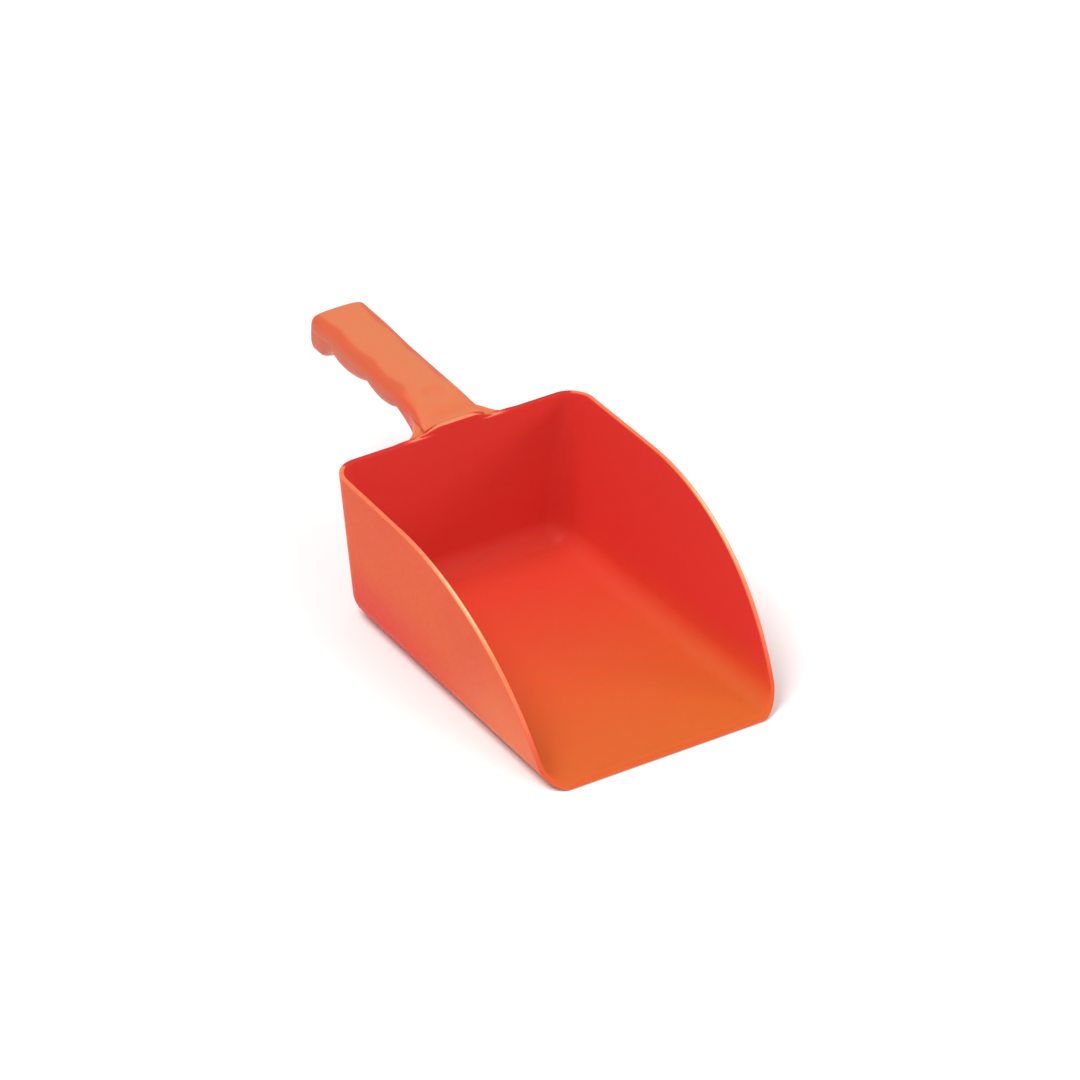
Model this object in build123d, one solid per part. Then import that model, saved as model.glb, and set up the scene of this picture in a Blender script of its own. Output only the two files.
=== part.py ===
from build123d import *
import os
from math import cos, radians, sin, sqrt

# Moulded hand scoop, in millimetres.  X is across, the mouth faces -Y, the grip points to +Y, +Z is up.
# While it is drawn, Y = 0 is the foot of the back wall's outer face; the last step moves the finished
# scoop so that its origin is under the middle of its bounding box, on the surface that it stands on.

# Bowl
FLOOR_LENGTH = 200.0  # back wall to lip
BACK_WIDTH = 134.0  # across the floor at the back wall, to the sharp corners
MOUTH_WIDTH = 143.0  # across the floor at the lip
RIM_HEIGHT = 88.7
WALL = 2.6
SIDE_DRAFT = 0.12  # outward lean of the side walls, millimetres per millimetre of height
BACK_DRAFT = 0.03  # outward lean of the back wall
CORNER_RADIUS = 15.0  # outside, at the floor and at the upright corners
FLAT_RIM = 68.0  # length of the level stretch of the side walls' rim
FLAT_RIM_FALL = 0.8  # degrees
BROW_RADIUS = 143.0  # rim's long curve down to the lip
BROW_TURN = 62.0  # degrees

# Hump where the back wall rises to meet the grip
HUMP_RISE = 4.0
HUMP_TOP_WIDTH = 22.0
HUMP_FOOT_WIDTH = 52.0
HUMP_SETBACK = 1.0  # of its inner face from the inner face of the wall

# Grip: its own frame has Y along the seam between its two shells and Z square to that seam
SEAM_HEIGHT = 90.0  # above the floor, at the back wall
GRIP_RISE = 1.5  # degrees, up towards the butt
GRIP_LENGTH = 118.0
GRIP_WIDTH = 33.4
ROOT_WIDTH = 37.0  # of the upper shell, at the back wall
ROOT_RAMP = 24.0  # length over which the upper shell rises from the hump
CROWN_HEIGHT = 8.0  # seam to the top of the upper shell
ROOT_CROWN = 2.8  # the same, at the back wall
CROWN_SHAPE = 0.78  # fullness of the upper half section: 0.55 is an ellipse, more is squarer
BUTT_SHAPE = 0.92
BUTT_ROUND = 4.5
SHELL = 2.4

# Finger lobes under the grip
NOTCHES = (36.5, 64.0, 96.5)  # Y of the three notches, neck to butt
NOTCH_DEPTH = 7.4  # seam to the bottom of the section at a notch
LOBE_DEPTH = 13.5  # the same, at the middle of a lobe
BUTT_DEPTH = 15.9  # the same, at the butt
BUTT_SWELL = 12.0  # length over which the last lobe reaches that depth
NOTCH_WAIST = 0.6  # each side is this much narrower at a notch
LOBE_SHAPE = 0.61  # fullness of the lower half section, which grows to BUTT_SHAPE at the butt

# Neck: the lower shell flares from the first notch to its foot on the back wall
NECK_FOOT_DEPTH = 36.0
NECK_FOOT_WIDTH = 66.0
NECK_FLARE = 4.4  # how late the neck widens: 1 is a straight taper
SHOULDER_DROP = 1.2  # from the seam down to the flare's flat top, beside the upper shell

# Thumb rest: a shallow round dish in the upper shell
DISH_Y = 20.0
DISH_RADIUS = 30.0
DISH_DEPTH = 1.4

# Tang: a channel beam moulded on the back wall, open side down, which the two shells close around
TANG_END = 88.0
TANG_WIDTH = 18.0
TANG_TOP = -0.5
TANG_BOTTOM = -3.5
TANG_WALL = 2.0
GUSSET_LENGTH = 26.0  # webs under the tang, where it leaves the back wall
GUSSET_DEPTH = 22.0
TANG_PEG_HOLE = 5.0  # diameter

# Pegs of the upper shell and sockets of the lower shell
PEGS = (43.0, 69.0, 102.0)  # Y of each peg
PEG_DIAMETER = 4.0
PEG_BOTTOM = -5.6
SOCKET_BORE = 4.2
SOCKET_OUTSIDE = 7.6
SOCKET_TOP = -3.2
RIBS = (30.0, 56.0, 82.0)  # Y of the cross ribs that hold the tang
RIB = 2.0
FIT = 0.1  # clearance between a rib and the tang

OVERRUN = 12.0  # how far a cutting shape reaches past what it cuts
TOP = RIM_HEIGHT + OVERRUN


def tub(inset):
    """The bowl's drafted box with its walls and floor moved in by inset; open ends run past the rim."""
    side = inset * sqrt(1 + SIDE_DRAFT**2)
    back = inset * sqrt(1 + BACK_DRAFT**2)
    flare = (MOUTH_WIDTH - BACK_WIDTH) / 2 / FLOOR_LENGTH
    front = -FLOOR_LENGTH - OVERRUN

    def level(z):
        """Corners at height z, counterclockwise from the front left."""
        rear = BACK_DRAFT * z - back
        halves = [BACK_WIDTH / 2 - flare * y + SIDE_DRAFT * z - side for y in (front, rear)]
        places = [(-halves[0], front), (halves[0], front), (halves[1], rear), (-halves[1], rear)]
        return [Vector(x, y, z) for x, y in places]

    low, high = level(inset), level(TOP)
    outlines = [low, high]
    for corner in range(4):
        after = (corner + 1) % 4
        outlines.append([low[corner], low[after], high[after], high[corner]])
    box = Solid(Shell([Face(Wire.make_polygon(outline)) for outline in outlines]))
    uprights = box.edges().filter_by(Plane.XY, reverse=True).group_by(Axis.Y)[-1]
    bottom = box.edges().group_by(Axis.Z)[0].filter_by(lambda edge: edge.center().Y > front + 1)
    return Part(fillet(uprights + bottom, CORNER_RADIUS - inset).wrapped)


def under_rim():
    """Everything below the rim line of the side walls, as seen from the side."""
    back_top = Vector(BACK_DRAFT * RIM_HEIGHT, RIM_HEIGHT)
    fall = radians(FLAT_RIM_FALL)
    flat = Line(back_top, back_top - Vector(cos(fall), sin(fall)) * FLAT_RIM)
    brow = JernArc(flat @ 1, flat % 1, BROW_RADIUS, BROW_TURN)
    lip = TangentArc(brow @ 1, (-FLOOR_LENGTH, 0), tangent=brow % 1)
    below = lip @ 1 + (lip % 1) * OVERRUN
    rear = OVERRUN
    rest = Polyline(lip @ 1, below, (rear, below.Y), (rear, RIM_HEIGHT), back_top)
    return extrude(Plane.YZ * make_face([flat, brow, lip, rest]), MOUTH_WIDTH, both=True)


def hump():
    """Bell-shaped rise of the back wall, as a bar along Y through that wall."""
    foot = HUMP_FOOT_WIDTH / 2
    shoulder = HUMP_TOP_WIDTH / 2
    peak = RIM_HEIGHT + HUMP_RISE
    left = Spline((-foot, RIM_HEIGHT), (-shoulder, peak), tangents=[(1, 0), (1, 0)])
    top = Line((-shoulder, peak), (shoulder, peak))
    right = Spline((shoulder, peak), (foot, RIM_HEIGHT), tangents=[(1, 0), (1, 0)])
    base = RIM_HEIGHT - OVERRUN
    rest = Polyline((foot, RIM_HEIGHT), (foot, base), (-foot, base), (-foot, RIM_HEIGHT))
    return extrude(Plane.XZ * make_face([left, top, right, rest]), OVERRUN, both=True)


def half_section(y, half_width, height, fullness, up):
    """Half section on the seam plane at y, above it when up is 1 and below it when up is -1.

    Two Bezier quarters; a fullness of 0.55 is a half ellipse, and nearer 1 is squarer.
    """
    rise = up * height
    quarters = []
    for side in (1, -1):
        edge = side * half_width
        quarters.append(
            Bezier((edge, 0), (edge, fullness * rise), (fullness * edge, rise), (0, rise))
        )
    base = Line((-half_width, 0), (half_width, 0))
    return Plane.XZ.offset(-y) * make_face(quarters + [base])


def blend(low, high, share):
    """Smooth step from low at share 0 to high at share 1."""
    share = min(max(share, 0), 1)
    return low + (high - low) * share * share * (3 - 2 * share)


def butt_stations(inset):
    """(y, rounding) of the sections that round the butt end, from its start to the end face."""
    start = GRIP_LENGTH - BUTT_ROUND
    radius = BUTT_ROUND - inset
    turns = [radians(angle) for angle in (0, 30, 60, 90)]
    return [(start + radius * sin(turn), radius * (1 - cos(turn))) for turn in turns]


def upper_form(inset):
    """Outside of the grip above the seam, every face moved in by inset."""
    sections = []
    stations = [(y, 0) for y in (-OVERRUN / 2, 0, 4, 9, 15, ROOT_RAMP, 36, 50, 64, 78, 90, 100, 108)]
    for y, rounding in stations + butt_stations(inset):
        ramp = y / ROOT_RAMP
        half = blend(ROOT_WIDTH, GRIP_WIDTH, ramp) / 2 - rounding - inset
        height = blend(ROOT_CROWN, CROWN_HEIGHT, ramp) - rounding - inset
        fullness = blend(CROWN_SHAPE, BUTT_SHAPE, (y - NOTCHES[1]) / (NOTCHES[2] - NOTCHES[1]))
        sections.append(half_section(y, half, height, fullness, 1))
    return loft(sections)


def lower_section(y, waist, depth, inset):
    """Half section below the seam; waist is how much narrower each side is than the grip."""
    share = (y - NOTCHES[1]) / (GRIP_LENGTH - 2 * BUTT_ROUND - NOTCHES[1])
    fullness = blend(LOBE_SHAPE, BUTT_SHAPE, share)
    return half_section(y, GRIP_WIDTH / 2 - waist - inset, depth - inset, fullness, -1)


def lobe(start, end, inset):
    """One finger lobe of the grip's underside, between two notches."""
    sections = []
    for share in (0, 0.1, 0.3, 0.5, 0.7, 0.9, 1):
        swell = (1 - (2 * share - 1) ** 2) ** 0.8
        depth = NOTCH_DEPTH + (LOBE_DEPTH - NOTCH_DEPTH) * swell
        y = start + (end - start) * share
        sections.append(lower_section(y, NOTCH_WAIST * (1 - swell), depth, inset))
    return loft(sections)


def butt_lobe(inset):
    """Last lobe of the underside, which ends in the rounded butt."""
    start = NOTCHES[2]
    sections = [lower_section(start, NOTCH_WAIST, NOTCH_DEPTH, inset)]
    stations = [(start + step, 0) for step in (3, 6, 9, 12, 15)]
    for y, rounding in stations + butt_stations(inset):
        swell = blend(0.1, 1, (y - start) / BUTT_SWELL)
        depth = NOTCH_DEPTH + (BUTT_DEPTH - NOTCH_DEPTH) * swell
        sections.append(lower_section(y, rounding + NOTCH_WAIST * (1 - swell), depth - rounding, inset))
    return loft(sections)


def neck(inset):
    """Flared neck from the first notch to the back wall, every face moved in by inset."""
    length = NOTCHES[0]
    flare = (NECK_FOOT_WIDTH - GRIP_WIDTH) / 2
    sections = []
    for y in (-OVERRUN / 2, 0, 4, 8, 14, 22, 30, length):
        share = min(1, 1 - y / length)
        depth = NOTCH_DEPTH + (NECK_FOOT_DEPTH - NOTCH_DEPTH) * share
        sections.append(lower_section(y, NOTCH_WAIST - flare * share**NECK_FLARE, depth, inset))
    return loft(sections)


def lower_form(inset):
    """Grip below the seam, every face moved in by inset."""
    lobes = [lobe(start, end, inset) for start, end in zip(NOTCHES, NOTCHES[1:])]
    return neck(inset) + lobes + butt_lobe(inset)


def bar(y, x_size, y_size, bottom, top):
    """Upright block centred on the grip's middle at y."""
    return Pos(0, y, (bottom + top) / 2) * Box(x_size, y_size, top - bottom)


def rod(y, diameter, bottom, top):
    """Upright cylinder centred on the grip's middle at y."""
    return Pos(0, y, (bottom + top) / 2) * Cylinder(diameter / 2, top - bottom)


def tang():
    """Channel beam from the back wall to TANG_END, with a hole for each peg that passes it."""
    beam = bar(TANG_END / 2, TANG_WIDTH, TANG_END, TANG_BOTTOM, TANG_TOP)
    channel = TANG_WIDTH - 2 * TANG_WALL
    beam -= bar(TANG_END / 2, channel, TANG_END, TANG_BOTTOM, TANG_TOP - TANG_WALL)
    triangle = Polyline((0, TANG_BOTTOM), (0, -GUSSET_DEPTH), (GUSSET_LENGTH, TANG_BOTTOM), close=True)
    gusset = extrude(Plane.YZ * make_face(triangle), TANG_WALL)
    for left in (-TANG_WIDTH / 2, channel / 2):
        beam += Pos(left, 0, 0) * gusset
    for y in PEGS[:2]:
        beam -= rod(y, TANG_PEG_HOLE, TANG_BOTTOM, TANG_TOP)
    return beam


def ribs(width, bottom, top):
    """One cross rib at each place where the shells hold the tang."""
    return [bar(y, width, RIB, bottom, top) for y in RIBS]


def upper_shell():
    """Top half of the grip with its thumb rest, ribs and pegs."""
    dish = Pos(0, DISH_Y, CROWN_HEIGHT - DISH_DEPTH + DISH_RADIUS) * Rot(90, 0, 0) * Sphere(DISH_RADIUS)
    outside = upper_form(0) - dish
    shell = outside - upper_form(SHELL)
    for rib in ribs(TANG_WIDTH, TANG_TOP + FIT, CROWN_HEIGHT):
        shell += rib & (outside + bar(GRIP_LENGTH / 2, GRIP_WIDTH, GRIP_LENGTH, TANG_TOP, 0))
    for y in PEGS:
        shell += rod(y, PEG_DIAMETER, 0, CROWN_HEIGHT) & outside
        shell += rod(y, PEG_DIAMETER, PEG_BOTTOM, 0)
    return shell


def lower_shell():
    """Bottom half of the grip with its finger lobes, neck, ribs and peg sockets."""
    outside = lower_form(0)
    shell = outside - lower_form(SHELL)
    for side in (1, -1):
        above = bar(0, NECK_FOOT_WIDTH, 2 * NOTCHES[0], -SHOULDER_DROP, OVERRUN)
        shell -= Pos(side * (GRIP_WIDTH + NECK_FOOT_WIDTH) / 2, 0, 0) * above
    channel = TANG_WIDTH - 2 * TANG_WALL - 2 * FIT
    for rib in ribs(channel, -LOBE_DEPTH, TANG_TOP - TANG_WALL - FIT):
        shell += rib & outside
    for y in PEGS:
        shell += rod(y, SOCKET_OUTSIDE, -LOBE_DEPTH, SOCKET_TOP) & outside
        shell -= rod(y, SOCKET_BORE, PEG_BOTTOM - FIT, SOCKET_TOP)
    return shell


os.makedirs("parts", exist_ok=True)

to_grip = Location((0, 0, SEAM_HEIGHT), (GRIP_RISE, 0, 0))
solid_tub = tub(0)
bowl = (solid_tub - tub(WALL)) & under_rim()
bowl += (solid_tub - tub(WALL - HUMP_SETBACK)) & hump()
bowl += to_grip * tang() - tub(WALL)
parts = {
    "scoop_bowl": bowl,
    "handle_upper_shell": to_grip * upper_shell() - solid_tub,
    "handle_lower_shell": to_grip * lower_shell() - solid_tub,
}
box = Compound([solid for shape in parts.values() for solid in shape.solids()]).bounding_box()
to_origin = Pos(0, -box.center().Y, -box.min.Z)
for name, shape in parts.items():
    export_step(to_origin * shape, f"parts/{name}.step")
    print(name, len(shape.solids()), round(shape.volume))
print("moved by", tuple(round(value, 3) for value in to_origin.position))
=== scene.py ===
from math import acos, atan2, cos, radians, sin, sqrt, tan

import bpy
import numpy as np
from mathutils import Euler, Matrix, Vector


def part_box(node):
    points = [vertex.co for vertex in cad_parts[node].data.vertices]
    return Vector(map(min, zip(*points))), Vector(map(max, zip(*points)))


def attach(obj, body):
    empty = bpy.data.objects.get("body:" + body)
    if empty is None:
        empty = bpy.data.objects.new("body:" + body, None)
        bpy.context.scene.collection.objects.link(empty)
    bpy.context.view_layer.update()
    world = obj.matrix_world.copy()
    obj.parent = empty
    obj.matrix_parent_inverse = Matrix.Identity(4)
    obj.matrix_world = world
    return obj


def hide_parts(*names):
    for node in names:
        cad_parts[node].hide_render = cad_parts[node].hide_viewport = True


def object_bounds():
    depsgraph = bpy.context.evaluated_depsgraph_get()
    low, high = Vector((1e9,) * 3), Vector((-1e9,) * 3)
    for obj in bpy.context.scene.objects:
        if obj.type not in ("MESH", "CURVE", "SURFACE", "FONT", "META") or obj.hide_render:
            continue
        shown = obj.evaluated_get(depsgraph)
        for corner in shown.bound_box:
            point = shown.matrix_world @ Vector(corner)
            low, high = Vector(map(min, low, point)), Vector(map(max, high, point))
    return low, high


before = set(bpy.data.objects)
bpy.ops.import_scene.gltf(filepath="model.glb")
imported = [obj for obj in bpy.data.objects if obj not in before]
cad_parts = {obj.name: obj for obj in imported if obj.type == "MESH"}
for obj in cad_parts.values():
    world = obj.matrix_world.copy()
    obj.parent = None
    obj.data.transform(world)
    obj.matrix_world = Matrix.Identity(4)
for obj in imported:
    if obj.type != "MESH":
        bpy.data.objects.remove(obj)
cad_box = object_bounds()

# Moulded hand scoop.  Shapes are worked out in millimetres in a drawing frame: Y = 0 is the foot of
# the back wall's outer face, the mouth faces -Y, the grip points to +Y and Z = 0 is the floor.
# to_frame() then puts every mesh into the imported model's frame, in metres.

MM = 0.001

# Bowl
FLOOR_LENGTH = 200.0
BACK_WIDTH = 134.0
MOUTH_WIDTH = 143.0
RIM_HEIGHT = 88.7
WALL = 2.6
SIDE_DRAFT = 0.12
BACK_DRAFT = 0.03
CORNER_RADIUS = 15.0
FLAT_RIM = 68.0
FLAT_RIM_FALL = 0.8  # degrees
BROW_RADIUS = 143.0
BROW_TURN = 62.0  # degrees
OUTER_EDGE = 1.2  # rounding of the rim's outer edge
INNER_EDGE = 0.8  # rounding of the rim's inner edge

# Hump of the back wall's rim
HUMP_RISE = 4.0
HUMP_TOP = 11.0  # half width
HUMP_FOOT = 26.0  # half width
HUMP_FACE = 15.0  # half width of the stretch whose inner face is flush with the wall
HUMP_FACE_END = 21.0  # half width from which it stands fully behind its ledge
HUMP_SETBACK = 1.0
HUMP_LEAN = 0.3  # how much further back the top of the face is
FOOT_RISE = 0.3  # height of the foot of the face where it is flush
LEDGE_RISE = 0.15  # height of the ledge there
FACE_ROW = 0.95  # share of the face below the row that keeps the top's painted light off it

# Painted light, highlight, shade and sheen on the bowl, in one mask that also makes those spots smoother;
# the brow is the stretch where the side rim turns down to the lip
BROW_HIGHLIGHT_Y = -122.0
BROW_HIGHLIGHT_LENGTH = 34.0
SIDE_LIGHT_HEIGHTS = (5.0, 40.0)  # none below the first, full above the second
SIDE_LIGHT_LEAST = 0.4  # share of it far from the brow
SHINE_FROM = 0.3  # share of the brow's painted highlight at which it starts to turn cream
# painted light on the hump's top and the ledge in front of it
HUMP_LIGHT = 0.6
HUMP_LIGHT_RISE = 0.5  # height of the hump at which the painted light on its top is full
LEDGE_LIGHT_RISE = 0.3  # height of the hump up to which its face gets the ledge's painted light
# painted shade on the back wall's rim away from the hump
RIM_SHADE = 0.6
RIM_SHADE_RUN = 8.0  # length over which the painted shade sets in beside the hump
# painted sheen, a pale pink reflection low on the outer walls towards the lip
SHEEN = 0.28
SHEEN_RUN = (-80.0, -170.0)  # Y: none behind the first, full in front of the second
SHEEN_HEIGHTS = (10.0, 60.0)  # full below the first, none above the second

# Painted shade of the bowl, a deeper red: inside all but the lip's end of the floor, outside low down at the
# back
FLOOR_SHADE = 0.85
OUTER_SHADE = 0.85
OUTER_SHADE_HEIGHT = 50.0
OUTER_SHADE_RUN = (-150.0, -30.0)  # Y: none in front of the first, full behind the second
SIDE_RIM_SHADE = 0.6

# Grip
SEAM_HEIGHT = 90.0
GRIP_RISE = 1.5  # degrees
GRIP_LENGTH = 118.0
GRIP_WIDTH = 33.4
ROOT_WIDTH = 37.0
ROOT_RAMP = 24.0
CROWN_HEIGHT = 8.0
ROOT_CROWN = 2.8
CROWN_SHAPE = 0.78
BUTT_SHAPE = 0.92
SIDE_SHADE = 3.0  # width of the painted shade along the crown's edge, standing in for its shaded side
SIDE_SHADE_FADE = 3.0
NOTCH_SHADE = 1.8  # how much wider it is above the notches of the underside
NOTCH_SHADE_LENGTH = 7.0
NECK_SHADE_RUN = 12.0  # length over which it fades out towards the neck
BUTT_ROUND = 4.5
NOTCHES = (36.5, 64.0, 96.5)
NOTCH_DEPTH = 7.4
LOBE_DEPTH = 13.5
BUTT_DEPTH = 15.9
BUTT_SWELL = 12.0
BUTT_STEP = 0.8  # length over which the butt leaves the last notch
BUTT_LEAST = 0.1  # share of its swell right behind that step
NOTCH_WAIST = 0.6
LOBE_POWER = 0.8  # below 1 the lobes are fuller than parabolas
LOBE_SHAPE = 0.61
NECK_FOOT_DEPTH = 36.0
NECK_FOOT_WIDTH = 66.0
NECK_FLARE = 4.4
NECK_JOINT = (-3.0, 7.0)  # distances past the neck's foot where the rim's outer edge goes crisp to round
SHOULDER_DROP = 1.2
SHOULDER_ROUND = 0.3
SHOULDER_RUN = (3.0, 9.0)  # Y: full before the first, none past the second
FOOT_SHARE = 0.985  # the shoulder's foot stays within this share of the half width
UNDER_SHARE = 0.93  # and the row inside it within this one
ROOT_RUN = 7.0  # length over which the crown comes up from the hump's top
DISH_Y = 20.0
DISH_RADIUS = 17.7
DISH_DEPTH = 2.4
DISH_BLEND = 0.02  # square of the softness of its edge
DISH_FLOOR = 0.5  # height above the seam below which it does not cut

# Mesh density
LIP_POINTS = 60
BROW_POINTS = 160
FLAT_POINTS = 40
STEP = 1.7  # spacing of the bowl's grid along its walls
LIP_ROWS = 12
LIP_STEP = 0.05  # the first spacing of the lip's rows, which grow from there
RIM_PASSES = 12  # rounds in which a section finds its height under the sloping rim
ROUND_STEPS = 4  # quads across the rounding of one rim edge
GRIP_STEP = 1.1
GRIP_CELLS = 26  # quads across a quarter of the grip's section
BUTT_ROWS = 8
SHARP_ANGLE = 50.0  # degrees between two faces from which their edge is drawn sharp


# ---------------------------------------------------------------- small helpers

def smooth(low, high, value):
    """Smooth step from 0 at low to 1 at high, for numbers and arrays."""
    share = np.clip((value - low) / (high - low), 0, 1)
    return share * share * (3 - 2 * share)


def mix(a, b, share):
    return a + (b - a) * share


def arc(centre, radius, start, end, count):
    """Points of a circular arc, angles in radians."""
    turns = np.linspace(start, end, count)
    return np.stack([centre[0] + radius * np.cos(turns), centre[1] + radius * np.sin(turns)], -1)


def to_frame():
    """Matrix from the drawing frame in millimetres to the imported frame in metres."""
    low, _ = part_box("scoop_bowl")
    return Matrix.Translation((0, low.y + FLOOR_LENGTH * MM, low.z)) @ Matrix.Scale(MM, 4)


def to_grip():
    """Matrix from the grip's own frame to the drawing frame."""
    return Matrix.Translation((0, 0, SEAM_HEIGHT)) @ Euler((radians(GRIP_RISE), 0, 0)).to_matrix().to_4x4()


def build(name, points, faces, place, **tones):
    """Mesh object from points in millimetres, with sharp edges kept sharp and with its paint masks."""
    mesh = bpy.data.meshes.new(name)
    mesh.from_pydata([tuple(p) for p in points], [], faces)
    mesh.transform(place)
    mesh.validate()
    mesh.polygons.foreach_set("use_smooth", [True] * len(mesh.polygons))
    mesh.set_sharp_from_angle(angle=radians(SHARP_ANGLE))
    for tone, values in tones.items():
        mesh.attributes.new(tone, "FLOAT", "POINT").data.foreach_set("value", values)
    piece = bpy.data.objects.new(name, mesh)
    bpy.context.scene.collection.objects.link(piece)
    return piece


# ---------------------------------------------------------------- bowl

def rim_profile(inward=0.0):
    """The side walls' rim line as (y, z) from the lip to the back, moved into the wall by inward."""
    fall = radians(FLAT_RIM_FALL)
    back = np.array([BACK_DRAFT * RIM_HEIGHT, RIM_HEIGHT])
    ahead = np.array([-cos(fall), -sin(fall)])
    front = back + FLAT_RIM * ahead
    centre = front + BROW_RADIUS * np.array([sin(fall), -cos(fall)])
    start = radians(90) + fall
    brow = arc(centre, BROW_RADIUS, start, start + radians(BROW_TURN), BROW_POINTS)
    heading = radians(180) + fall + radians(BROW_TURN)
    chord = np.array([-FLOOR_LENGTH, 0]) - brow[-1]
    swing = heading - (atan2(chord[1], chord[0]) % radians(360))
    radius = np.linalg.norm(chord) / 2 / sin(swing)
    middle = brow[-1] + radius * np.array([sin(heading), -cos(heading)])
    begin = heading + radians(90)
    lip = arc(middle, radius, begin - radians(360), begin - radians(360) - 2 * swing, LIP_POINTS)
    flat = np.stack([mix(back, front, share) for share in np.linspace(0, 1, FLAT_POINTS)])
    line = np.concatenate([flat[:-1], brow[:-1], lip])[::-1]
    line[0] = (-FLOOR_LENGTH, 0)
    step = np.gradient(line, axis=0)
    step /= np.linalg.norm(step, axis=1)[:, None]
    return line + inward * np.stack([step[:, 1], -step[:, 0]], -1)


def hump(x):
    """Height of the hump above the rim."""
    return HUMP_RISE * (1 - smooth(HUMP_TOP, HUMP_FOOT, np.abs(x)))


def tub_surface(inset, trim):
    """One face of the bowl's wall, moved in by inset and cut back by trim from the rim.

    Returns the points, the quads and the indices of the edge that runs round the lip and the rim.  The
    surface is a core of planes grown by the corner radius, so every corner is truly round.
    """
    radius = CORNER_RADIUS - inset
    flare = (MOUTH_WIDTH - BACK_WIDTH) / 2 / FLOOR_LENGTH
    lean = sqrt(1 + SIDE_DRAFT**2)
    side = np.array([1, flare, -SIDE_DRAFT]) / sqrt(1 + flare**2 + SIDE_DRAFT**2)
    across = np.array([1, flare, 0]) / sqrt(1 + flare**2)
    back = np.array([0, 1, -BACK_DRAFT]) / sqrt(1 + BACK_DRAFT**2)
    down = np.array([0.0, 0.0, -1.0])
    bend = acos(np.dot(down, side))
    line = rim_profile(trim)

    def core_half(y, z):
        return BACK_WIDTH / 2 - flare * y + SIDE_DRAFT * z - CORNER_RADIUS * lean

    def core_back(z):
        return BACK_DRAFT * z - CORNER_RADIUS * sqrt(1 + BACK_DRAFT**2)

    def rim_at(y):
        return np.interp(y, line[:, 0], line[:, 1])

    # Columns run from the middle of the floor out to the rim: floor, round corner, wall.
    back_reach = core_back(CORNER_RADIUS)
    floor_cells = round(core_half(back_reach, CORNER_RADIUS) / STEP)
    round_cells = 2 * round(bend * CORNER_RADIUS / STEP / 2)
    wall_cells = round((RIM_HEIGHT - CORNER_RADIUS) / STEP)
    corner = floor_cells + round_cells // 2
    last = floor_cells + round_cells + wall_cells
    spread = np.concatenate([np.linspace(0, 1, floor_cells + 1), np.ones(last - floor_cells)])
    turning = np.linspace(0, bend, round_cells + 1)
    turn = np.concatenate([np.zeros(floor_cells), turning, np.full(wall_cells, bend)])
    climb = np.concatenate([np.zeros(last - wall_cells), np.linspace(0, 1, wall_cells + 1)])
    wall_length = (RIM_HEIGHT - trim - CORNER_RADIUS) * lean
    even = spread * core_half(back_reach, CORNER_RADIUS) + turn * radius + climb * wall_length
    even /= even[-1]

    def section(y):
        """Points of one section across the trough, from the middle of the floor to the rim."""
        tilt = BACK_DRAFT * smooth(-FLAT_RIM, back_reach, y)
        floor_half = core_half(y, CORNER_RADIUS)
        top = rim_at(y)
        for _ in range(RIM_PASSES):
            top_core = top - radius * side[2]
            top = rim_at(y + tilt * max(top_core - CORNER_RADIUS, 0) + radius * side[1])
        if top_core > CORNER_RADIUS:
            reach = floor_half + radius * bend + (top_core - CORNER_RADIUS) * lean
        else:
            reach = floor_half + radius * acos(min(1, (CORNER_RADIUS - top) / radius))
        length = even * reach
        angle = np.clip((length - floor_half) / radius, 0, bend)
        z_core = CORNER_RADIUS + np.maximum(length - floor_half - radius * bend, 0) / lean
        y_core = y + tilt * (z_core - CORNER_RADIUS)
        x_core = np.where(angle > 0, core_half(y_core, z_core), length)
        normal = np.sin(angle)[:, None] * across + np.cos(angle)[:, None] * down
        return np.stack([x_core, y_core, z_core], -1) + radius * normal

    def corner_point(x_share, column, row, swing):
        """Point of the back corner or wall; swing turns the normal from the side to the back."""
        normal = floor_share[row] * down + side_share[column] * side + swing * back
        normal = normal / np.linalg.norm(normal)
        top = RIM_HEIGHT - trim
        if swing == 1 and inset == 0:
            top += hump(x_share * (BACK_WIDTH / 2 + SIDE_DRAFT * RIM_HEIGHT))
        z_core = CORNER_RADIUS + climb[row] * (top - radius * normal[2] - CORNER_RADIUS)
        y_core = core_back(z_core)
        return np.array([x_share * core_half(y_core, z_core), y_core, z_core]) + radius * normal

    near_floor = np.sin(bend - turn)
    near_side = np.sin(turn)
    floor_share = near_floor / np.maximum(near_floor, near_side)
    side_share = near_side / np.maximum(near_floor, near_side)

    # Rows run from the lip to the back; the first ones are close together, for the lip's round corners.
    start = np.interp(inset, line[:, 1], line[:, 0])
    first_steps = start + LIP_STEP * np.arange(LIP_ROWS) ** 2
    run = np.linspace(first_steps[-1], back_reach, round(FLOOR_LENGTH / STEP))
    half = [section(y) for y in np.concatenate([first_steps[:-1], run])]
    turns = round_cells // 2
    for step in range(1, turns + 1):
        swing = tan(radians(45) * step / turns)
        half.append([corner_point(spread[c], c, c, swing) for c in range(last + 1)])
    half = np.array(half)
    grid = np.concatenate([half[:, :0:-1] * [-1, 1, 1], half], axis=1)
    count, width = grid.shape[:2]
    points = list(grid.reshape(-1, 3))
    faces = []
    for j in range(count - 1):
        for i in range(width - 1):
            first = j * width + i
            faces.append((first, first + 1, first + width + 1, first + width))

    # The back wall stands on the last row's floor part, between that row's two wall parts.
    middle = (count - 1) * width + last
    table = {(i, corner): middle + i for i in range(-corner, corner + 1)}
    for k in range(corner + 1, last + 1):
        table[-corner, k] = middle - k
        table[corner, k] = middle + k
        for i in range(-corner + 1, corner):
            table[i, k] = len(points)
            point = corner_point(spread[abs(i)], abs(i), k, 1)
            points.append(point * [1 if i >= 0 else -1, 1, 1])
    for k in range(corner, last):
        for i in range(-corner, corner):
            faces.append((table[i, k], table[i + 1, k], table[i + 1, k + 1], table[i, k + 1]))

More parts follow.
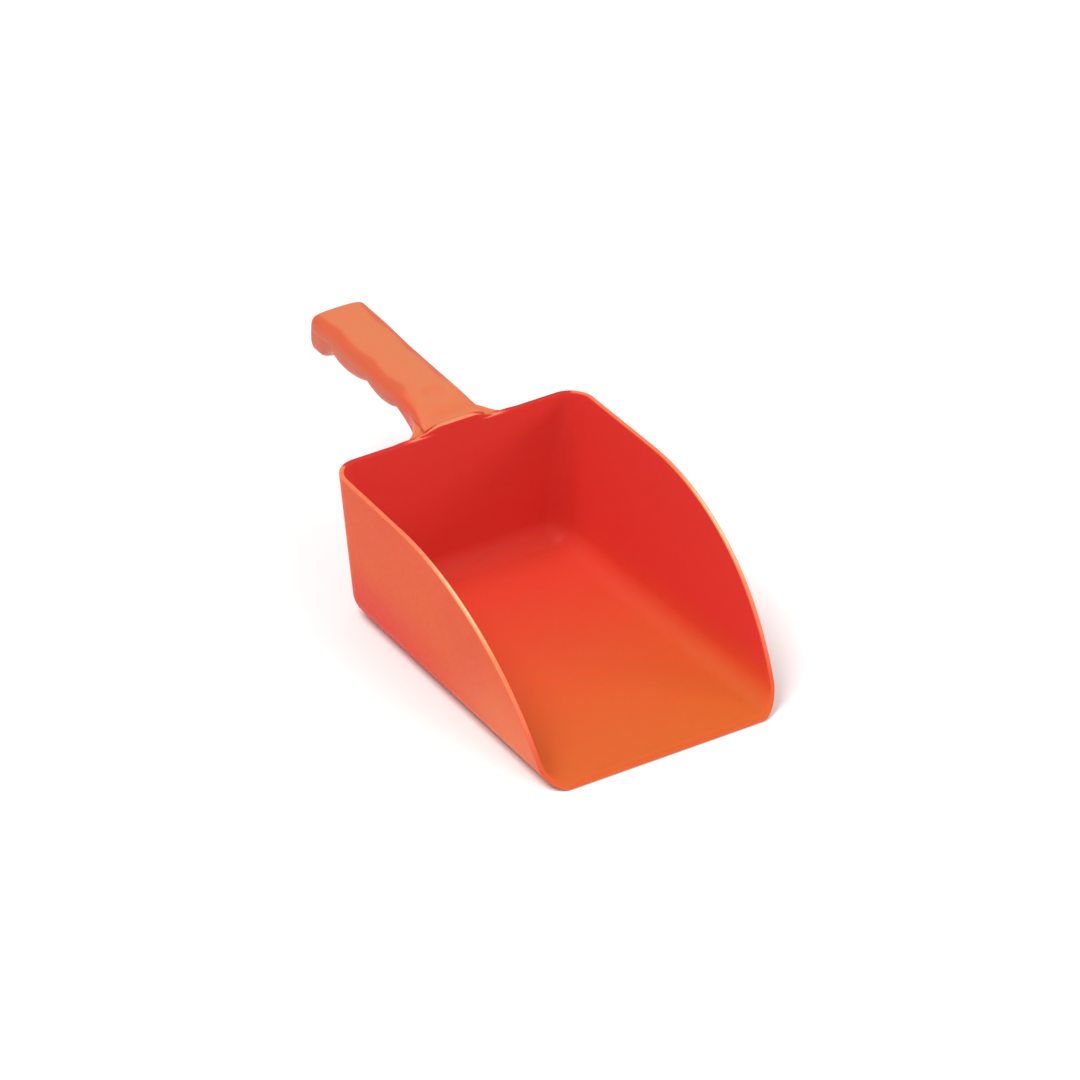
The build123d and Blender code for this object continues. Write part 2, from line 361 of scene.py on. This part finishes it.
    edge = list(range(width))
    edge += [j * width + width - 1 for j in range(1, count)]
    edge += [table[i, last] for i in range(corner - 1, -corner, -1)]
    edge += [j * width for j in range(count - 1, 0, -1)]
    return np.array(points), faces, edge


def nearest(line, points):
    """For each point, the closest point of a closed polyline."""
    start, step = line, np.roll(line, -1, axis=0) - line
    share = ((points[:, None] - start) * step).sum(2) / np.maximum((step**2).sum(1), 1e-9)
    spots = start + np.clip(share, 0, 1)[..., None] * step
    best = ((spots - points[:, None]) ** 2).sum(2).argmin(1)
    return spots[np.arange(len(points)), best]


def curve(a, corner, b, count, crisp):
    """Rows from a to b without the first one: a round edge, or the crisp corner itself where crisp is 1."""
    for share in np.linspace(0, 1, count + 1)[1:]:
        bend = (1 - share) ** 2 * a + 2 * share * (1 - share) * corner + share**2 * b
        straight = mix(a, corner, 2 * share) if share < 0.5 else mix(corner, b, 2 * share - 1)
        yield mix(bend, straight, crisp)


def bowl(place):
    """Thin-walled bowl with a rounded rim and the hump in its back wall."""
    outer, outer_faces, outer_edge = tub_surface(0, OUTER_EDGE)
    inner, inner_faces, inner_edge = tub_surface(WALL, INNER_EDGE)
    sharp_outer, _, sharp_edge = tub_surface(0, 0)
    outer_corner = nearest(sharp_outer[sharp_edge], outer[outer_edge])
    sharp_inner, _, sharp_edge = tub_surface(WALL, 0)
    inner_corner = nearest(sharp_inner[sharp_edge], inner[inner_edge])

    # The outer edge is crisp where the grip stands against it; the hump's face is flush in the middle.
    up = np.array([0, 0, 1.0])
    off_middle = np.abs(outer_corner[:, :1])
    on_back = outer_corner[:, 1:2] > 0
    rise = np.where(on_back, hump(outer_corner[:, :1]), 0)
    past_neck = off_middle - NECK_FOOT_WIDTH / 2
    joined = np.where(on_back, 1 - smooth(*NECK_JOINT, past_neck), 0)
    flush = np.where(on_back, 1 - smooth(HUMP_FACE, HUMP_FACE_END, off_middle), 0)
    way = outer_corner - rise * up - inner_corner
    way /= np.linalg.norm(way, axis=1)[:, None]
    face_foot = inner_corner + (1 - flush) * HUMP_SETBACK * way + flush * FOOT_RISE * up
    face_top = inner_corner + rise * up + (1 - flush) * (HUMP_SETBACK + HUMP_LEAN) * way
    ledge = inner_corner + (1 - flush) * INNER_EDGE * way + flush * LEDGE_RISE * up
    rows = list(curve(outer[outer_edge], outer_corner, outer_corner - OUTER_EDGE * way, ROUND_STEPS, joined))
    rows += [face_top, mix(face_foot, face_top, FACE_ROW), face_foot, ledge]
    rows += list(curve(ledge, inner_corner, inner[inner_edge], ROUND_STEPS, flush))[:-1]

    # The mask paints light above 0, a cream highlight above 1 and shade below 0.  The side rims get painted
    # light, and a cream painted highlight on the brow;
    # the hump's top and the ledge in front of it get painted light; the rest of the back wall's rim gets
    # painted shade.
    # The list holds one entry for each row, from the outer face over the rim to the inner face.
    height = outer_corner[:, 2:]
    brow = np.exp(-(((outer_corner[:, 1:2] - BROW_HIGHLIGHT_Y) / BROW_HIGHLIGHT_LENGTH) ** 2))
    # Painted shade on the back wall's rim away from the hump.
    back_shade = RIM_SHADE * on_back * smooth(HUMP_FOOT, HUMP_FOOT + RIM_SHADE_RUN, off_middle)
    # Painted light on the side rims, strongest on the brow.
    side_light = smooth(*SIDE_LIGHT_HEIGHTS, height) * mix(SIDE_LIGHT_LEAST, 1, brow)
    top = np.where(on_back, HUMP_LIGHT * smooth(0, HUMP_LIGHT_RISE, rise) - back_shade, side_light)
    # Cream painted highlight on the brow of the side rims.
    shine = np.where(on_back, 0, smooth(SHINE_FROM, 1, brow))
    near_hump = 1 - smooth(HUMP_FOOT, HUMP_FOOT + RIM_SHADE_RUN, off_middle)
    ledge_wear = HUMP_LIGHT * on_back * (1 - flush) * near_hump
    inside = np.where(on_back, ledge_wear - back_shade, top)
    below = np.where(on_back, ledge_wear * (rise < LEDGE_LIGHT_RISE) - back_shade, top)
    wear = [0.4 * top, 0.8 * top, top, top + 0.5 * shine, top + shine, below + shine, below + shine,
            inside + 0.5 * shine, inside, 0.8 * inside, 0.4 * inside]

    shift = len(outer)
    points = [*outer, *inner]
    # Painted sheen low on the outer walls towards the lip.
    sheen = SHEEN * smooth(*SHEEN_RUN, outer[:, 1]) * (1 - smooth(*SHEEN_HEIGHTS, outer[:, 2]))
    edge_wear = [*sheen, *np.zeros(len(inner))]
    # Painted shade: deeper red inside the bowl, less on the floor towards the lip, and low on the outer
    # back; the rim rows take it too.
    from_lip = FLOOR_SHADE * smooth(-FLOOR_LENGTH, 0, inner[:, 1])
    inner_shade = mix(from_lip, 1, smooth(WALL, 2 * CORNER_RADIUS, inner[:, 2]))
    low = 1 - smooth(0, OUTER_SHADE_HEIGHT, outer[:, 2])
    deep_tone = [*(OUTER_SHADE * low * smooth(*OUTER_SHADE_RUN, outer[:, 1])), *inner_shade]
    faces = [face[::-1] for face in outer_faces]
    faces += [tuple(shift + index for index in face) for face in inner_faces]
    loops = [outer_edge]
    for row, light_and_wear in zip(rows, wear):
        loops.append(range(len(points), len(points) + len(row)))
        points += list(row)
        edge_wear += list(light_and_wear[:, 0])
        deep_tone += list(np.where(on_back[:, 0], 1, SIDE_RIM_SHADE) * inner_shade[inner_edge])
    loops.append([shift + index for index in inner_edge])
    for near, far in zip(loops, loops[1:]):
        for b in range(len(near)):
            after = (b + 1) % len(near)
            faces.append((near[b], near[after], far[after], far[b]))
    return build("bowl", points, faces, place, edge_wear=edge_wear, deep_tone=deep_tone)


# ---------------------------------------------------------------- grip

def quarter(half, height, fullness, count):
    """Quarter section from (half, 0) up to (0, height) as rows of (x, z)."""
    t = np.linspace(0, 1, count + 1)
    x = half * ((1 - t) ** 3 + 3 * (1 - t) ** 2 * t + 3 * (1 - t) * t**2 * fullness)
    z = height * (3 * (1 - t) ** 2 * t * fullness + 3 * (1 - t) * t**2 + t**3)
    return np.stack([x, z], -1)


def crown_section(y):
    """Half width, height and fullness of the grip above the seam."""
    ramp = smooth(0, ROOT_RAMP, y)
    fullness = mix(CROWN_SHAPE, BUTT_SHAPE, smooth(NOTCHES[1], NOTCHES[2], y))
    return mix(ROOT_WIDTH, GRIP_WIDTH, ramp) / 2, mix(ROOT_CROWN, CROWN_HEIGHT, ramp), fullness


def lobe_section(y):
    """Half width, depth and fullness of the grip below the seam."""
    fullness = mix(LOBE_SHAPE, BUTT_SHAPE, smooth(NOTCHES[1], GRIP_LENGTH - 2 * BUTT_ROUND, y))
    if y < NOTCHES[0]:
        share = min(1, 1 - y / NOTCHES[0])
        flare = (NECK_FOOT_WIDTH - GRIP_WIDTH) / 2 * share**NECK_FLARE
        return GRIP_WIDTH / 2 - NOTCH_WAIST + flare, mix(NOTCH_DEPTH, NECK_FOOT_DEPTH, share), fullness
    if y < NOTCHES[2]:
        start, end = (NOTCHES[0], NOTCHES[1]) if y < NOTCHES[1] else NOTCHES[1:]
        swell = max(0, 1 - (2 * (y - start) / (end - start) - 1) ** 2) ** LOBE_POWER
        depth = LOBE_DEPTH
    else:
        past_notch = y - NOTCHES[2]
        swell = mix(BUTT_LEAST, 1, smooth(0, BUTT_SWELL, past_notch)) * smooth(0, BUTT_STEP, past_notch)
        depth = BUTT_DEPTH
    return GRIP_WIDTH / 2 - NOTCH_WAIST * (1 - swell), mix(NOTCH_DEPTH, depth, swell), fullness


def grip_rows():
    """(y, rounding) of the grip's rows, close together at the notches and round the butt."""
    spots = [BACK_DRAFT * SEAM_HEIGHT, *NOTCHES, GRIP_LENGTH - BUTT_ROUND]
    rows = []
    for start, end in zip(spots, spots[1:]):
        shares = (1 - np.cos(np.linspace(0, np.pi, round((end - start) / GRIP_STEP) + 1))) / 2
        rows += [(y, 0) for y in mix(start, end, shares)[:-1]]
    for turn in np.linspace(0, radians(90), BUTT_ROWS):
        rows.append((spots[-1] + BUTT_ROUND * sin(turn), BUTT_ROUND * (1 - cos(turn))))
    return rows


def grip_half(name, section_of, up, shape, place):
    """Closed half of the grip with a flat face on the seam; up is 1 above the seam and -1 below it.

    Its first rows lean with the back wall.
    """
    loops = []
    deep_tone = []
    for y, rounding in grip_rows():
        half, height, fullness = section_of(y)
        right = quarter(half - rounding, height - rounding, fullness, GRIP_CELLS)
        outside = np.concatenate([right, right[-2::-1] * [-1, 1]])
        edge = half - rounding
        upper = crown_section(y)[0]
        foot = min(upper + SHOULDER_ROUND, FOOT_SHARE * edge)
        under = min(upper, UNDER_SHARE * edge)
        ledge = np.array([mix(edge, foot, 0.5), foot, under, 0.5 * under, 0.0])
        seam = np.concatenate([-ledge, ledge[-2::-1]])
        loop = np.concatenate([outside, np.stack([seam, np.zeros(len(seam))], -1)])
        x, z = loop[:, 0], up * loop[:, 1]
        beside_wall = 1 - smooth(BACK_DRAFT * SEAM_HEIGHT, NECK_FOOT_WIDTH / 4, y)
        loops.append(shape(np.stack([x, y + BACK_DRAFT * z * beside_wall, z], -1)))
        # Painted shade along the crown's sides, wider above the notches, and over the whole underside.
        near_notch = sum(np.exp(-(((y - notch) / NOTCH_SHADE_LENGTH) ** 2)) for notch in NOTCHES)
        line = SIDE_SHADE + NOTCH_SHADE * near_notch
        side_shade = 1 - smooth(line, line + SIDE_SHADE_FADE, half - np.abs(x)) * (up > 0)
        deep_tone += list(side_shade * smooth(NOTCHES[0] - NECK_SHADE_RUN, NOTCHES[0], y))
    points = np.concatenate(loops)
    width = len(loops[0])
    faces = [tuple(range(width))[::-1], tuple(range(len(points) - width, len(points)))]
    for j in range(len(loops) - 1):
        for i in range(width):
            after = (i + 1) % width
            faces.append((j * width + i, j * width + after, (j + 1) * width + after, (j + 1) * width + i))
    if up > 0:
        faces = [face[::-1] for face in faces]
    return build(name, points, faces, place, deep_tone=deep_tone)


def crown_shape(points):
    """Sinks the shallow thumb rest into the crown and brings its root down to the hump's top."""
    x, y, z = points.T
    below = DISH_RADIUS**2 - x**2 - (y - DISH_Y) ** 2
    bottom = CROWN_HEIGHT - DISH_DEPTH + DISH_RADIUS - np.sqrt(np.maximum(below, 0))
    over = np.where(below > 0, z - bottom, -1)
    z = z - np.where(z > DISH_FLOOR, (over + np.sqrt(over**2 + DISH_BLEND)) / 2, 0)
    root = BACK_DRAFT * SEAM_HEIGHT
    hump_top = np.maximum(RIM_HEIGHT + hump(x) - SEAM_HEIGHT, 0)
    z = mix(z, np.minimum(z, hump_top), 1 - smooth(root, root + ROOT_RUN, y))
    return np.stack([x, y, z], -1)


def shoulder(points):
    """Cuts the foot of the neck's flare to its flat shoulder beside the upper shell."""
    x, y, z = points.T
    upper = crown_section(y)[0]
    beside = smooth(upper, upper + SHOULDER_ROUND, np.abs(x))
    drop = SHOULDER_DROP * (1 - smooth(*SHOULDER_RUN, y))
    return np.stack([x, y, z - np.maximum(z + drop, 0) * beside], -1)


# ---------------------------------------------------------------- materials

# painted light of the rims and the hump
LIT_ORANGE = (0.90, 0.36, 0.17)
# painted highlight of the brow
HIGHLIGHT_CREAM = (0.92, 0.60, 0.36)
# painted shade of the back wall's rim
SHADED_RED = (0.48, 0.030, 0.022)

# Noise of the moulded surface, in cells to the metre
CLOUD_SCALE = 14
SCUFF_SCALE = 260
SPECK_SCALE = 900
GRAIN_SCALE = 2600

# How far the colour follows each layer
SPECK_TONE = 0.25
EDGE_TONE = 0.3
LIGHT_TONE = 0.9
EDGE_WHITE = 0.22  # share of white in the colour of sharp edges, partly edge wear and partly a painted highlight

WORN_ROUGHNESS = 0.2
GRAIN_STRENGTH = 0.35
GRAIN_HEIGHT = 0.00006  # metres
SKIN_DEPTH = 0.003  # metres the light runs under the surface


def plastic(name, colour, cloud, lit_top, under, deep, roughness, gloss, lit_top_from):
    """Satin moulded plastic: faint flow clouds, fine moulded grain, small scuffs, and pale edges that are
    partly worn and partly a painted highlight.

    Faces that look up further than the given slope turn to a colour of painted light and those that look
    down to the under colour, a painted shade; the painted-shade mask brings in the shade colour, and the
    mask of painted light and wear brings in the colours painted for light, highlight and shade on the rims.
    """
    material = bpy.data.materials.new(name)
    material.use_nodes = True
    nodes, links = material.node_tree.nodes, material.node_tree.links
    shader = nodes["Principled BSDF"]
    shader.inputs["IOR"].default_value = 1.49
    shader.inputs["Specular IOR Level"].default_value = gloss
    shader.inputs["Subsurface Weight"].default_value = 0.6
    shader.inputs["Subsurface Radius"].default_value = (1.0, 0.15, 0.08)
    shader.inputs["Subsurface Scale"].default_value = SKIN_DEPTH
    coordinates = nodes.new("ShaderNodeTexCoord")

    def noise(scale, detail, distortion=0.0):
        node = nodes.new("ShaderNodeTexNoise")
        node.inputs["Scale"].default_value = scale
        node.inputs["Detail"].default_value = detail
        node.inputs["Distortion"].default_value = distortion
        links.new(coordinates.outputs["Object"], node.inputs["Vector"])
        return node.outputs["Fac"]

    def ranged(value, low, high, least=0.0, most=1.0):
        """The value's range from low to high, stretched from least to most and held there beyond it."""
        node = nodes.new("ShaderNodeMapRange")
        for socket, number in zip(node.inputs[1:5], (low, high, least, most)):
            socket.default_value = number
        links.new(value, node.inputs["Value"])
        return node.outputs["Result"]

    def blended(share, first, second):
        """Mix of two colours, each a tuple or the output of another node."""
        node = nodes.new("ShaderNodeMix")
        node.data_type = "RGBA"
        links.new(share, node.inputs["Factor"])
        for socket, value in (("A", first), ("B", second)):
            target = [s for s in node.inputs if s.name == socket and s.type == "RGBA"][0]
            if isinstance(value, tuple):
                target.default_value = (*value, 1)
            else:
                links.new(value, target)
        return [s for s in node.outputs if s.type == "RGBA"][0]

    clouds = noise(CLOUD_SCALE, detail=3, distortion=0.6)
    specks = noise(SPECK_SCALE, detail=2)
    grain = noise(GRAIN_SCALE, detail=3)
    scuffs = noise(SCUFF_SCALE, detail=5, distortion=1.5)
    body = blended(ranged(clouds, 0.35, 0.65), colour, cloud)
    facing = nodes.new("ShaderNodeSeparateXYZ")
    links.new(coordinates.outputs["Normal"], facing.inputs["Vector"])
    # Painted light on faces that look up and painted shade on faces that look down.
    body = blended(ranged(facing.outputs["Z"], lit_top_from, 0.97), body, lit_top)
    body = blended(ranged(facing.outputs["Z"], 0.05, -0.7), body, under)
    # Painted shade from its mask: inside the bowl, low on its outer back and along the grip's sides.
    tone = nodes.new("ShaderNodeAttribute")
    tone.attribute_name = "deep_tone"
    body = blended(tone.outputs["Fac"], body, deep)
    body = blended(ranged(specks, 0.62, 0.8, most=SPECK_TONE), body, cloud)
    # Sharp edges turn paler: partly edge wear, partly a painted highlight along them.
    geometry = nodes.new("ShaderNodeNewGeometry")
    pale = tuple(mix(part, 1, EDGE_WHITE) for part in colour)
    body = blended(ranged(geometry.outputs["Pointiness"], 0.52, 0.62, most=EDGE_TONE), body, pale)
    # Painted light on the rims and hump, a cream painted highlight on the brow, painted shade on the back
    # rim and painted sheen low on the outer walls; the same mask smooths these spots.
    light_and_wear = nodes.new("ShaderNodeAttribute")
    light_and_wear.attribute_name = "edge_wear"
    body = blended(ranged(light_and_wear.outputs["Fac"], 0, 1, most=LIGHT_TONE), body, LIT_ORANGE)
    body = blended(ranged(light_and_wear.outputs["Fac"], 1, 2, most=LIGHT_TONE), body, HIGHLIGHT_CREAM)
    body = blended(ranged(light_and_wear.outputs["Fac"], 0, -RIM_SHADE), body, SHADED_RED)
    links.new(body, shader.inputs["Base Color"])
    polish = nodes.new("ShaderNodeMath")
    polish.operation = "SUBTRACT"
    links.new(ranged(scuffs, 0.4, 0.75, roughness - 0.04, roughness + 0.1), polish.inputs[0])
    links.new(ranged(light_and_wear.outputs["Fac"], 0, 1, most=roughness - WORN_ROUGHNESS), polish.inputs[1])
    links.new(polish.outputs["Value"], shader.inputs["Roughness"])
    bump = nodes.new("ShaderNodeBump")
    bump.inputs["Strength"].default_value = GRAIN_STRENGTH
    bump.inputs["Distance"].default_value = GRAIN_HEIGHT
    links.new(grain, bump.inputs["Height"])
    links.new(bump.outputs["Normal"], shader.inputs["Normal"])
    return material


def matt_floor():
    """Plain pale floor."""
    material = bpy.data.materials.new("floor_paint")
    material.use_nodes = True
    shader = material.node_tree.nodes["Principled BSDF"]
    shader.inputs["Base Color"].default_value = (0.93, 0.93, 0.93, 1)
    shader.inputs["Roughness"].default_value = 0.9
    shader.inputs["Specular IOR Level"].default_value = 0.1
    return material


# ---------------------------------------------------------------- the object

place = to_frame()
# The colours given for faces that look up and down are painted light and painted shade, and the deepest red
# is a painted shade as well.
bowl_plastic = plastic("bowl_plastic", colour=(0.70, 0.105, 0.024), cloud=(0.67, 0.082, 0.022),
                       lit_top=(0.60, 0.115, 0.022), under=(0.64, 0.070, 0.025), deep=(0.69, 0.045, 0.034),
                       roughness=0.46, gloss=0.13, lit_top_from=0.25)
grip_plastic = plastic("grip_plastic", colour=(0.67, 0.100, 0.036), cloud=(0.65, 0.085, 0.032),
                       lit_top=(0.64, 0.175, 0.068), under=(0.66, 0.055, 0.030), deep=(0.60, 0.105, 0.038),
                       roughness=0.38, gloss=0.3, lit_top_from=0.66)
pieces = (
    (bowl(place), "scoop_bowl", "bowl_plastic", bowl_plastic),
    (grip_half("grip_top", crown_section, 1, crown_shape, place @ to_grip()),
     "handle_upper_shell", "grip_plastic", grip_plastic),
    (grip_half("grip_underside", lobe_section, -1, shoulder, place @ to_grip()),
     "handle_lower_shell", "grip_plastic", grip_plastic),
)
for piece, node, slot, material in pieces:
    piece.data.materials.append(material)
    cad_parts[node].data.materials.clear()
    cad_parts[node].data.materials.append(material)
    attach(piece, "root")
    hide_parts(node)

# ---------------------------------------------------------------- studio

FLOOR_SIZE = 8.0
FLOOR_GAP = 0.0002
bpy.ops.mesh.primitive_plane_add(size=FLOOR_SIZE, location=(0, 0, cad_box[0].z - FLOOR_GAP))
floor = bpy.context.object
floor.name = "studio_floor"
floor.data.materials.append(matt_floor())

world = bpy.data.worlds.new("studio")
world.use_nodes = True
background = world.node_tree.nodes["Background"]
background.inputs["Color"].default_value = (1, 1, 1, 1)
background.inputs["Strength"].default_value = 0.58
bpy.context.scene.world = world


def soft_light(name, spot, aim, size, power):
    data = bpy.data.lights.new(name, "AREA")
    data.shape = "DISK"
    data.size = size
    data.energy = power
    light = bpy.data.objects.new(name, data)
    light.location = spot
    light.rotation_euler = (Vector(aim) - Vector(spot)).to_track_quat("-Z", "Y").to_euler()
    bpy.context.scene.collection.objects.link(light)


LIGHTS_AIM = (0, 0, 0.03)
soft_light("key", (-1.1, 0.2, 2.4), LIGHTS_AIM, size=1.4, power=47)
soft_light("fill", (0.3, -2.3, 1.5), LIGHTS_AIM, size=0.8, power=12)
soft_light("side_fill", (1.8, -1.5, 0.9), LIGHTS_AIM, size=0.8, power=14)

# The camera stands at the reference view's place: in front, turned from -Y towards -X, and above.
CAMERA_TURN = -34.88  # degrees
CAMERA_RISE = 33.14  # degrees
CAMERA_ROLL = 2.17  # degrees
CAMERA_DISTANCE = 4.649
CAMERA_AIM = Vector((0.0159, -0.0150, 0.0450))
lens = bpy.data.cameras.new("camera")
lens.lens = 300
lens.sensor_width = 36
lens.clip_end = 50
camera = bpy.data.objects.new("camera", lens)
azimuth = radians(CAMERA_TURN)
elevation = radians(CAMERA_RISE)
away = Vector((sin(azimuth) * cos(elevation), -cos(azimuth) * cos(elevation), sin(elevation)))
camera.matrix_world = (Matrix.Translation(CAMERA_AIM + CAMERA_DISTANCE * away)
                       @ away.to_track_quat("Z", "Y").to_matrix().to_4x4()
                       @ Matrix.Rotation(radians(CAMERA_ROLL), 4, "Z"))
bpy.context.scene.collection.objects.link(camera)
bpy.context.scene.camera = camera
bpy.context.scene.view_settings.view_transform = "Standard"
